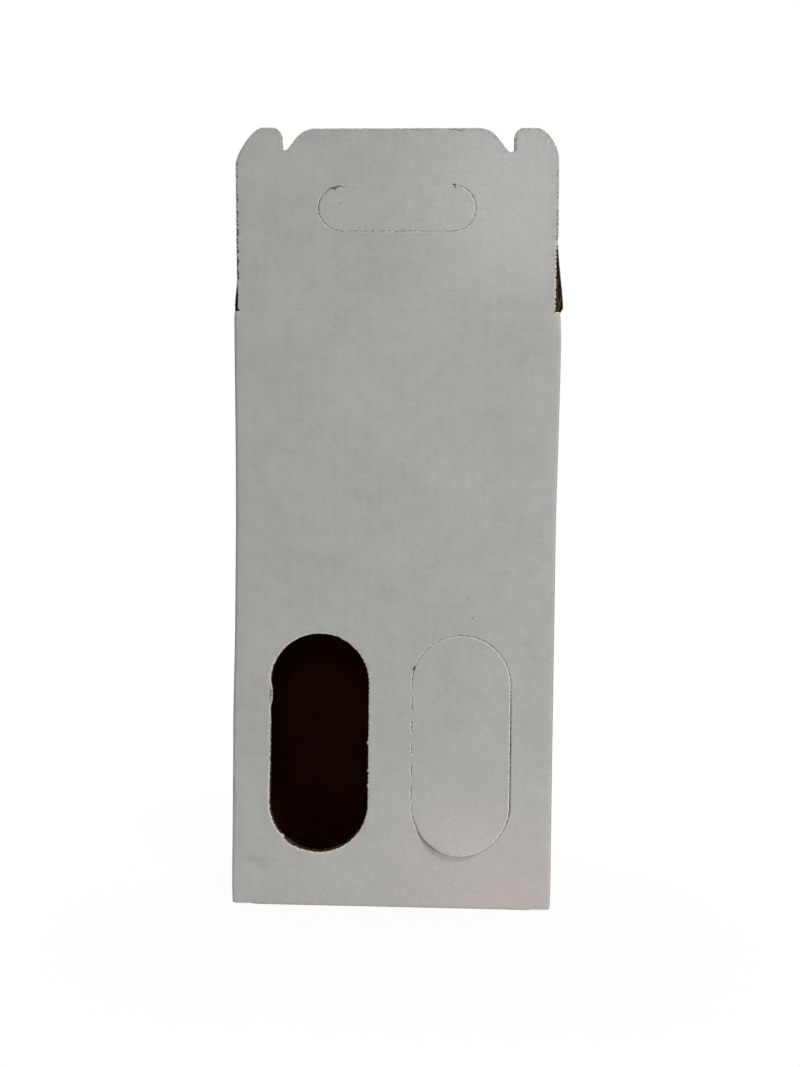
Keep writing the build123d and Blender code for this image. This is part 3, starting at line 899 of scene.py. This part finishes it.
wallOutline = wallEdge()
windowPitch = window["toothPitch"]
leftHole = windowLoop(window["left"], [], 0, window["tornStep"])
rightHole = windowLoop(window["right"], window["ties"], 0, window["step"])
# painted shade along the windows' cuts: the left one where its strays give a darkness, the right one in all
# its notches
leftWhite = toothed(strayed(leftHole, True, window["leftStrays"]), True, windowPitch,
                    window["leftTooth"], seed=3, rough=0.09)
rightWhite = toothed(strayed(rightHole, True, window["rightStrays"]), True, windowPitch,
                     window["rightTooth"], seed=5, darkness=lambda x, y: 0.6 + 0 * x)


# The brown layers stand a little further into the torn-out window than the white one, most of all at the
# lower left
def raggedHole(middle):
    points, cuts, marks = windowLoop(middle, [], 0, window["raggedStep"])
    rng = np.random.default_rng(11)
    around = np.arctan2(points[:, 1] - window["middle"], points[:, 0] - middle)
    lowLeft = np.exp(-((around + 2.5) / 1.3) ** 2) + 0.75 * np.exp(-((around + 1.2) / 0.6) ** 2)
    fray = np.convolve(rng.normal(0, 0.22, len(points) + 2), np.ones(3) / 2, "valid")
    reach = 0.02 + 0.2 * lowLeft + fray
    return points + awayFrom(points, True) * np.maximum(reach, -0.25)[:, None], cuts, marks


wallStops = (1.3, 2.0, 20, 120, 215, 300)  # heights of the points along the flutes
walls = boardPiece("cartonWalls", [wallOutline, leftWhite, rightWhite],
                   [wallOutline, raggedHole(window["left"]), rightHole],
                   wallPlace, (wallColumns, wallRows, wallBends), wallStops)
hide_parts("carton_body")
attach(walls, "carton")

print("locking the bottom")


# Height of a bottom flap that leaves its wall at the base and climbs onto the layers under it
def climb(run, start, end, layers):
    return bottom["layer"] * layers * np.clip((run - start) / (end - start), 0, 1)


# A bottom flap drawn as seen from below, so that u is x and v is -y; toFold is 0 on the side that is folded
def bottomPiece(name, corners, radii, heightAt, toFold):
    path = filleted([*corners, corners[0]], [*radii, 0], steps=6)
    isFoldSide = [abs(toFold(a)) < 1e-6 and abs(toFold(b)) < 1e-6 for a, b in zip(path, path[1:])]
    runs = [([a, b], not fold, 1.2) for a, b, fold in zip(path, path[1:], isFoldSide)
            if np.linalg.norm(b - a) > 1e-6]
    loop = outline(runs)

    def place(u, v, depth):
        x, y = np.asarray(u, float), -np.asarray(v, float)
        return np.column_stack((x, y, heightAt(x, y) + np.maximum(depth, 0))) * 0.001

    low, high = loop[0].min(0), loop[0].max(0)
    columns = np.arange(low[0] + 3, high[0], 4.0)
    rows = np.arange(low[1] + 2, high[1], 2.6)
    stops = np.arange(low[1] + 2, high[1], 5.2)
    piece = boardPiece(name, [loop], [loop], place, (columns, rows, ()), stops, (600, 0))
    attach(piece, "carton")


cut = bottom["cornerCut"]
frontHalf, root, tongue = bottom["frontHalf"], bottom["root"], bottom["tongueHalf"]
frontStart, sideStartX, backStartY = -halfDepth + footRound, halfWidth - footRound, halfDepth - footRound
bottomPiece("bottomFrontFlap",
            [(-frontHalf, -root + cut), (-frontHalf, -frontStart), (frontHalf, -frontStart),
             (frontHalf, -root + cut), (frontHalf - cut, -root), (tongue, -root),
             (tongue, -bottom["tongueEnd"]), (-tongue, -bottom["tongueEnd"]),
             (-tongue, -root), (-frontHalf + cut, -root)][::-1],
            [0, cut, cut, 0, 0, 0, 0, 0, 0],
            lambda x, y: climb(y, root, bottom["tongueTop"], 3),
            lambda p: p[1] + frontStart)

rightSide = [(sideStartX, -bottom["sideFront"]), (bottom["sideTip"], -bottom["sideFront"]),
             (bottom["sideTip"], -bottom["sideTipBack"]),
             (bottom["sideTip"] + bottom["sideBack"] - bottom["sideTipBack"], -bottom["sideBack"]),
             (sideStartX, -bottom["sideBack"])]
bottomPiece("bottomRightFlap", rightSide, [0, 0, 0, 0],
            lambda x, y: climb(-x, -innerHalfWidth, -bottom["frontHalf"], 1),
            lambda p: p[0] - sideStartX)
bottomPiece("bottomLeftFlap", [(-u, v) for u, v in rightSide[::-1]], [0, 0, 0, 0],
            lambda x, y: climb(x, -innerHalfWidth, -bottom["frontHalf"], 1),
            lambda p: p[0] + sideStartX)
backHalf, backEdge = bottom["backHalf"], bottom["backEdge"]
notchHalf, notchEnd = bottom["notchHalf"], bottom["notchEnd"]
bottomPiece("bottomBackFlap",
            [(-backHalf, -backStartY), (backHalf, -backStartY), (backHalf, -backEdge - cut),
             (backHalf - cut, -backEdge), (notchHalf, -backEdge), (notchHalf, -notchEnd),
             (-notchHalf, -notchEnd), (-notchHalf, -backEdge), (-backHalf + cut, -backEdge),
             (-backHalf, -backEdge - cut)],
            [0] * 9,
            lambda x, y: climb(-y, -innerHalfDepth, -bottom["backRampEnd"], 2),
            lambda p: p[1] + backStartY)

print("creasing the top panels")


# A hinged flap at a height above its crease: how far out it is, how far turned, and how high it reaches
def leaning(v, lean):
    angle = math.radians(lean)
    turned = angle * np.clip((v + crease) / (2 * crease), 0, 1)
    out = math.sin(angle) * np.where(v > crease, v, np.clip(v + crease, 0, None) ** 2 / (4 * crease))
    return out, turned, np.where(v > 0, v * math.cos(angle), v)


def panelPlace(u, v, depth, back=1):  # back is -1 for the panel at the back, seen from behind
    u, v = np.asarray(u, float), np.asarray(v, float)
    depth = scored(np.asarray(depth, float) + 0 * u, v)
    out, turned, up = leaning(v, topPanel["lean"])
    half = (flatFront if back > 0 else backFlatEnd) + carton["mouthFlare"]
    inset = depth * np.cos(turned) - out + bow(back * u, v + shoulder, half)
    height = shoulder + up + depth * np.sin(turned)
    return np.column_stack((back * u, back * (-halfDepth + inset), height)) * 0.001


def backPanelPlace(u, v, depth):
    return panelPlace(u, v, depth, -1)


# The right side of a top panel, from its crease up to the middle of its top: side, ear, then hook notch
def panelEnd(end):
    slope = math.radians(topPanel["notchSlope"])
    r, side, height = topPanel["notchRound"], topPanel["earSide"], topPanel["height"]
    slopeRun = (r + (end["notchDepth"] - r) * math.cos(slope)) / math.sin(slope)
    slopeTop = side - r - slopeRun
    corner = height - (side - slopeTop) * math.tan(slope)
    half, flat = end["edge"] + end["spread"], end["flat"]
    start, top = height - end["drop"], height + end["rise"]
    ear = bezierPath((half, start), (half, start + end["fullness"] * end["drop"]),
                     (flat + end["fullness"] * (half - flat), top), (flat, top))
    hook = filleted([(flat, top), (side, top), (side, corner), (slopeTop, height), (0, height)],
                    [topPanel["earInnerRound"], r, topPanel["topRound"]], steps=16)
    foot, footTop = end["foot"], end["footTop"]
    upright = [(topPanel["half"], -crease), (topPanel["half"], 0.5), (foot, 1.2), (foot, footTop),
               (end["edge"], footTop + 8), (half, start)]
    return [upright, ear, hook]


# The front panel has come out a little wide; the back one keeps its size
def panelLoop(step, isBack):
    plain = {"edge": topPanel["half"], "foot": topPanel["half"], "spread": 0, "rise": 0} if isBack else {}
    right = panelEnd(topPanel["right"] | plain)
    left = [np.array(path) * (-1, 1) for path in panelEnd(topPanel["left"] | plain)]
    base = [(-topPanel["half"], -crease), (topPanel["half"], -crease)]
    runs = [(base, False, 1.5)]
    runs += [(path, True, step) for path in right]
    runs += [(path[::-1], True, step) for path in left[::-1]]
    return outline(runs)


# Outline of a hand hole, or with an inset that of the panel in it; its top is uncut between the hinge's ends
def handLoop(inset, step):
    straight, r = topPanel["handHalfWidth"] - topPanel["handRadius"], topPanel["handRadius"]
    middle, (start, end) = topPanel["handMiddle"], topPanel["hinge"]
    low, top = middle - r + inset, middle + r
    runs = [([(-straight, low), (straight, low)], True, step),
            (arcPath((straight, middle), r - inset, -90, 90), True, step)]
    if inset:
        runs.append(([(end, top - inset), (end, top)], True, step))
    runs.append(([(end, top), (start, top)], False, 1.0))
    if inset:
        runs.append(([(start, top), (start, top - inset)], True, step))
    runs += [([(start, top - inset), (-straight, top - inset)], True, step),
             (arcPath((-straight, middle), r - inset, 90, 270), True, step)]
    return outline(runs)


panelColumns = np.arange(-topPanel["half"] + 3, topPanel["half"], columnStep)
panelBends = (-0.8, -0.4, 0, 0.4, 0.8, 1.2, 1.7, 2.4, 4.0)
panelGrid = (panelColumns, np.arange(8, topPanel["height"], 7.0), panelBends)


# Painted shade in the tooth notches: on the right foot's edge, elsewhere a little inside the edge, weaker on
# ears and top
def panelMarks(x, y):
    side = (0.7 + 0.6 * smoothStep((60 - y) / 25)) * smoothStep((92 - y) / 10)
    side *= smoothStep((np.abs(x) - 80) / 6)
    left, right = -2.6 * smoothStep((y - 12) / 8), np.where(y < 38, 1.6, -1.5)
    side *= np.where(x < 0, left, right)
    return side - np.where(x > 0, 0.8, 0.4) * (y > 40) * (np.abs(x) < 86)


# Painted shade in the notches of a hand hole, at its left end and along its bottom
def handMarks(x, y):
    return np.where(x < -31, 0.8, np.where(y < 46, 1.0, 0.0))


# A top panel and the hand panel in it; the back ones are mirrored
def makePanel(name, node, handName, handNode, place, isBack):
    step, pitch, depth = topPanel["step"], topPanel["toothPitch"], topPanel["toothDepth"]
    whiteEdge = toothed(panelLoop(step, isBack), False, pitch, depth, seed=21 + isBack, rough=0.06,
                        darkness=panelMarks)
    brownEdge = panelLoop(topPanel["brownStep"], isBack)
    strays, gap = [] if isBack else topPanel["handStrays"], window["knifeGap"]
    hole, brownHole = strayed(handLoop(0, step), True, strays), handLoop(0, topPanel["brownStep"])
    outward = [(x, y, half, -into, dark) for x, y, half, into, dark in strays]
    handWhite = strayed(handLoop(gap, step), False, outward)
    handBrown = handLoop(gap, topPanel["brownStep"])
    if isBack:
        whiteEdge, brownEdge, hole, brownHole, handWhite, handBrown = (
            mirrored(loop) for loop in (whiteEdge, brownEdge, hole, brownHole, handWhite, handBrown))
    shift = (backMiddle if isBack else 0, shoulder)
    handPitch, handDepth = topPanel["handPitch"], topPanel["handDepth"]
    whiteHole = toothed(hole, True, handPitch, handDepth, seed=31 + isBack, rough=0.04, darkness=handMarks)
    panel = boardPiece(name, [whiteEdge, whiteHole], [brownEdge, brownHole], place, panelGrid,
                       (2.4, 30, 60), shift, flapSkins, mouthToSheet)
    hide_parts(node)
    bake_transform(panel)
    # painted shade along the right arc of the hand panel's cut
    whiteHand = toothed(handWhite, False, handPitch, handDepth, seed=41 + isBack, rough=0.04,
                        darkness=lambda x, y: 0.45 * (x > 31))
    handTop = topPanel["handMiddle"] + topPanel["handRadius"]
    hand = boardPiece(handName, [whiteHand], [handBrown],
                      lambda u, v, d: place(u, v, d + topPanel["handSink"] * (handTop - v)),
                      (np.arange(-40, 41, 5.0), np.arange(44, 65, 4.0), topPanel["handBends"]),
                      (), shift, flapSkins, mouthToSheet)
    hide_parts(handNode)
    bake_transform(hand)


makePanel("frontPanel", "front_top_flap",
          "frontHandPanel", "front_hand_flap", panelPlace, 0)
makePanel("backPanel", "back_top_flap",
          "backHandPanel", "back_hand_flap", backPanelPlace, 1)

print("creasing the side flaps")

# The side flaps with the slots for the ears
sideFlap = {
    "half": 45.0,
    "lean": 2.0,
    "length": 96.0,
    "neckHalf": 15.0,
    "taper": 25.0,
    "neckRound": 9.0,
    "neckBlend": 12.0,
    "clearHalf": 42.9,
    # how far the crease springs out, right and left, when it is folded up again, and how far up this reaches
    "bulge": {1: 1.7, -1: -0.1},
    "bulgeReach": 26,
    "slotHalfWidth": 3.75,
    "slotLength": 27.0,
    "slotStrip": 9.0,
    "toothDepth": 0.18,
    "step": 0.45,  # spacing of the points along the edge, in the white liner and the brown one
    "brownStep": 0.9,
    "slotStep": 0.4,
    "brownSlotStep": 0.7,
}


def sidePlace(u, v, depth, side):
    u, v = np.asarray(u, float), np.asarray(v, float)
    depth = scored(np.asarray(depth, float) + 0 * u, v)
    out, turned, up = leaning(v, sideFlap["lean"])
    inset = depth * np.cos(turned) - out + bow(side * u, v + shoulder, flatSide)
    bulge = sideFlap["bulge"][side] * smoothStep((v + crease) / 4)
    inset -= bulge * np.exp(-((np.clip(v - 3, 0, None) / sideFlap["bulgeReach"]) ** 2))
    reach = halfWidth + carton["mouthFlare"] - inset
    return np.column_stack((side * reach, side * u, shoulder + up + depth * np.sin(turned))) * 0.001


def makeSideFlap(name, node, side):
    half, neck, length = sideFlap["half"], sideFlap["neckHalf"], sideFlap["length"]
    neckStart = 0.15 + (half - neck) / math.tan(math.radians(sideFlap["taper"]))
    clear = sideFlap["clearHalf"]  # set back at the foot, where the panel beside it is a little wide
    clearTop = 0.4 + (half - clear) / math.tan(math.radians(sideFlap["taper"]))
    path = filleted([(clear, 0.4), (clear, clearTop), (neck, neckStart), (neck, length), (-neck, length),
                     (-neck, neckStart), (-half, 0.4)],
                    [0, sideFlap["neckBlend"], sideFlap["neckRound"],
                     sideFlap["neckRound"], sideFlap["neckBlend"]], steps=14)
    r = sideFlap["slotHalfWidth"]
    slotMiddle = length - sideFlap["slotStrip"] - sideFlap["slotLength"] / 2
    straight = sideFlap["slotLength"] / 2 - r

    def edges(step):
        return outline([([(-flatSide, -crease), (flatSide, -crease)], False, 1.5),
                        ([(flatSide, -crease), (flatSide, 0.2), (clear, 0.4)], True, step),
                        (path, True, step),
                        ([(-half, 0.4), (-flatSide, 0.4), (-flatSide, -crease)], True, step)])

    def slot(step):
        return outline([([(r, slotMiddle - straight), (r, slotMiddle + straight)], True, step),
                        (arcPath((0, slotMiddle + straight), r, 0, 180), True, step),
                        ([(-r, slotMiddle + straight), (-r, slotMiddle - straight)], True, step),
                        (arcPath((0, slotMiddle - straight), r, 180, 360), True, step)])

    # heights of the rows of points, close together at the crease; from 2.3 up the flutes have them too
    bends = (-0.8, -0.4, 0, 0.4, 0.8, 1.2, 1.7, 2.3, 3.1, 4.2, 6, 8, 11, 14, 18, 22, 27, 38)
    white = [toothed(edges(sideFlap["step"]), False, topPanel["toothPitch"], sideFlap["toothDepth"],
                     seed=51 + side),
             toothed(slot(sideFlap["slotStep"]), True, topPanel["handPitch"], topPanel["handDepth"],
                     seed=61 + side)]
    brown = [edges(sideFlap["brownStep"]), slot(sideFlap["brownSlotStep"])]
    flap = boardPiece(name, white, brown, lambda u, v, d: sidePlace(u, v, d, side),
                      (np.arange(-42, 43, 6.0), np.arange(32, 96, 7.0), bends), bends[7:],
                      (side * sideMiddle, shoulder), flapSkins)
    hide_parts(node)
    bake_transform(flap)


makeSideFlap("rightSideFlap", "right_side_flap", 1)
makeSideFlap("leftSideFlap", "left_side_flap", -1)

print("setting the window panel and the divider")


def windowPanelPlace(u, v, depth):
    proud = window["proud"]
    (x, y), (wide, tall) = proud["at"], proud["reach"]
    out = proud["by"] * np.exp(-(((u - x) / wide) ** 2) - ((v - y) / tall) ** 2)
    fromFold = u - window["right"] + window["halfWidth"]
    return wallPlace(u, v, depth - out * smoothStep(fromFold / proud["run"]))


gap = window["knifeGap"]
whiteLoop = windowLoop(window["right"], window["ties"], gap, window["step"])
brownLoop = windowLoop(window["right"], window["ties"], gap, window["brownStep"])
whiteLoop = toothed(whiteLoop, False, windowPitch, window["panelTooth"], seed=71)
windowPanel = boardPiece("windowPanel", [whiteLoop], [brownLoop], windowPanelPlace,
                         (wallColumns, [], np.arange(31, 153, 3.0)), np.arange(33, 152, 4.0),
                         skins=flapSkins)
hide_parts("window_flap")
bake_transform(windowPanel)

# The loose brown board between the bottles, cut out over the tongue of the bottom
divider = {"half": 42.5, "seat": 3.3, "step": 12.9, "stepEdge": -8.0, "height": 210.0, "round": 4.0}
front, back = -divider["half"], divider["half"]
seat, stepTop, stepEdge = divider["seat"], divider["step"], divider["stepEdge"]
dividerPath = filleted([(front, seat), (stepEdge, seat), (stepEdge, stepTop), (back, stepTop),
                        (back, divider["height"]), (front, divider["height"]), (front, seat)],
                       [0, 0, 0, divider["round"], divider["round"]])
dividerLoop = outline([([a, b], True, 1.0) for a, b in zip(dividerPath, dividerPath[1:])
                       if np.linalg.norm(b - a) > 1e-6])


def dividerPlace(u, v, depth):
    u, v, depth = np.broadcast_arrays(np.asarray(u, float), np.asarray(v, float), np.asarray(depth, float))
    return np.column_stack((board["thickness"] / 2 - depth, u, v)) * 0.001


dividerBoard = boardPiece("dividerBoard", [dividerLoop], [dividerLoop], dividerPlace,
                          (np.arange(-40, 41, 8.0), np.arange(18, 208, 10.0), ()), (), (900, 0),
                          skins=plainSkins)
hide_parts("bottle_divider")
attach(dividerBoard, "carton")

print("setting up the studio")

# The floor, lamps, surroundings and camera; metres and watts
studio = {
    "floor": 3.0,  # half its width
    "key": {"at": (0.1, -1.4, 0.62), "size": 0.22, "power": 2.1, "colour": "#fffdfb"},
    "side": {"at": (0.9, -0.8, 0.08), "size": 0.5, "power": 9.2, "colour": "#fffcfc"},
    "high": {"at": (0.7, -1.0, 1.3), "size": 0.12, "power": 9.4, "colour": "#fffeff"},
    "rear": {"at": (-1.0, 0.9, 0.5), "size": 0.8, "power": 12.0, "colour": "#ffffff"},
    "top": {"at": (0.1, 0.5, 1.5), "size": 0.8, "power": 6.0, "colour": "#ffffff"},
    "aim": (0, 0, 0.2),
    "ambient": 0.32,
    "paper": "#f6f6f6",
    "paperFar": "#9a9a9a",
    "paperNear": 0.05,  # between these distances the paper that lights the carton darkens
    "paperReach": 0.4,
    "contact": 0.08,  # how much of the floor's own shade the camera sees close to the carton
    "contactReach": 0.15,
    "camera": (0.01569, -0.49096, 0.21083),
    "yaw": 1.582,  # degrees
    "pitch": -0.244,
    "roll": 0.598,
    "lens": 26.99,  # the long side of the picture is 36 mm
}


# 1 where the camera, a reflection or clear material looks straight at the background
def seenDirectly(tree):
    path = addNode(tree, "LightPath")
    camera, glossy = path.outputs["Is Camera Ray"], path.outputs["Is Glossy Ray"]
    clear = path.outputs["Is Transmission Ray"]
    direct = addNode(tree, "Math", [camera, glossy], operation="ADD")
    return addNode(tree, "Math", [direct, clear], operation="ADD", use_clamp=True)


# Seamless white paper, matt: plain white to the camera, with a little of the carton's shade close round it
def studioPaper():
    material, tree = newMaterial("studioPaper")
    place = addNode(tree, "TexCoord").outputs["Object"]
    grain = addNode(tree, "TexNoise", {"Vector": place, "Scale": 900.0})
    normal = addNode(tree, "Bump", {"Strength": 0.1, "Distance": 0.0001, "Height": grain})
    outside = addNode(tree, "VectorMath", [place], operation="ABSOLUTE")
    footprint = (innerHalfWidth * 0.001, innerHalfDepth * 0.001, 0)
    outside = addNode(tree, "VectorMath", [outside, footprint], operation="SUBTRACT")
    outside = addNode(tree, "VectorMath", [outside, (0, 0, 0)], operation="MAXIMUM")
    away = addNode(tree, "VectorMath", [outside], operation="LENGTH")
    far = addNode(tree, "MapRange", [away, studio["paperNear"], studio["paperReach"], 0.0, 1.0])
    colour = addNode(tree, "Mix", {0: far, 6: hexColour(studio["paper"]), 7: hexColour(studio["paperFar"])},
                     data_type="RGBA")
    matt = addNode(tree, "BsdfDiffuse", {"Color": colour, "Normal": normal})
    glow = addNode(tree, "Emission", {"Color": (1, 1, 1, 1), "Strength": 1.0})
    near = addNode(tree, "MapRange", [away, 0.0, studio["contactReach"], studio["contact"], 0.0])
    under = addNode(tree, "Math", [away, 0.0005], operation="LESS_THAN")
    share = addNode(tree, "Math", [near, under], operation="MAXIMUM")
    bright = addNode(tree, "MixShader", [share, glow, matt])
    mixed = addNode(tree, "MixShader", [seenDirectly(tree), matt, bright])
    addNode(tree, "OutputMaterial", {"Surface": mixed})
    return material


floorMesh = bpy.data.meshes.new("studioFloor")
far = studio["floor"]
floorMesh.from_pydata([(-far, -far, 0), (far, -far, 0), (far, far, 0), (-far, far, 0)], [], [(0, 1, 2, 3)])
floorMesh.materials.append(studioPaper())
floor = bpy.data.objects.new("studioFloor", floorMesh)
bpy.context.scene.collection.objects.link(floor)

world = bpy.data.worlds.new("studioLight")
bpy.context.scene.world = world
world.use_nodes = True
worldTree = world.node_tree
worldTree.nodes.clear()
soft = addNode(worldTree, "Background", {"Color": (1, 1, 1, 1), "Strength": studio["ambient"]})
white = addNode(worldTree, "Background", {"Color": (1, 1, 1, 1), "Strength": 1.0})
mixed = addNode(worldTree, "MixShader", [seenDirectly(worldTree), soft, white])
addNode(worldTree, "OutputWorld", {"Surface": mixed})

for name in ("key", "side", "high", "rear", "top"):
    lamp = studio[name]
    data = bpy.data.lights.new(name + "Lamp", "AREA")
    data.size, data.energy, data.color = lamp["size"], lamp["power"], hexColour(lamp["colour"])[:3]
    light = bpy.data.objects.new(name + "Lamp", data)
    light.location = lamp["at"]
    light.rotation_mode = "QUATERNION"
    light.rotation_quaternion = (Vector(studio["aim"]) - Vector(lamp["at"])).to_track_quat("-Z", "Y")
    bpy.context.scene.collection.objects.link(light)

yaw, tilt, roll = (math.radians(studio[name]) for name in ("yaw", "pitch", "roll"))
ahead = Vector((-math.sin(yaw) * math.cos(tilt), math.cos(yaw) * math.cos(tilt), math.sin(tilt)))
right = Vector((math.cos(yaw), math.sin(yaw), 0))
up = right.cross(ahead)
rolledRight = math.cos(roll) * right + math.sin(roll) * up
rolledUp = math.cos(roll) * up - math.sin(roll) * right
cameraData = bpy.data.cameras.new("camera")
cameraData.sensor_width, cameraData.lens = 36.0, studio["lens"]
cameraData.clip_start, cameraData.clip_end = 0.01, 20
camera = bpy.data.objects.new("camera", cameraData)
turn = Matrix((rolledRight, rolledUp, -ahead)).transposed().to_4x4()
camera.matrix_world = Matrix.Translation(studio["camera"]) @ turn
bpy.context.scene.collection.objects.link(camera)
bpy.context.scene.camera = camera
bpy.context.scene.view_settings.view_transform = "Standard"

print("finished")
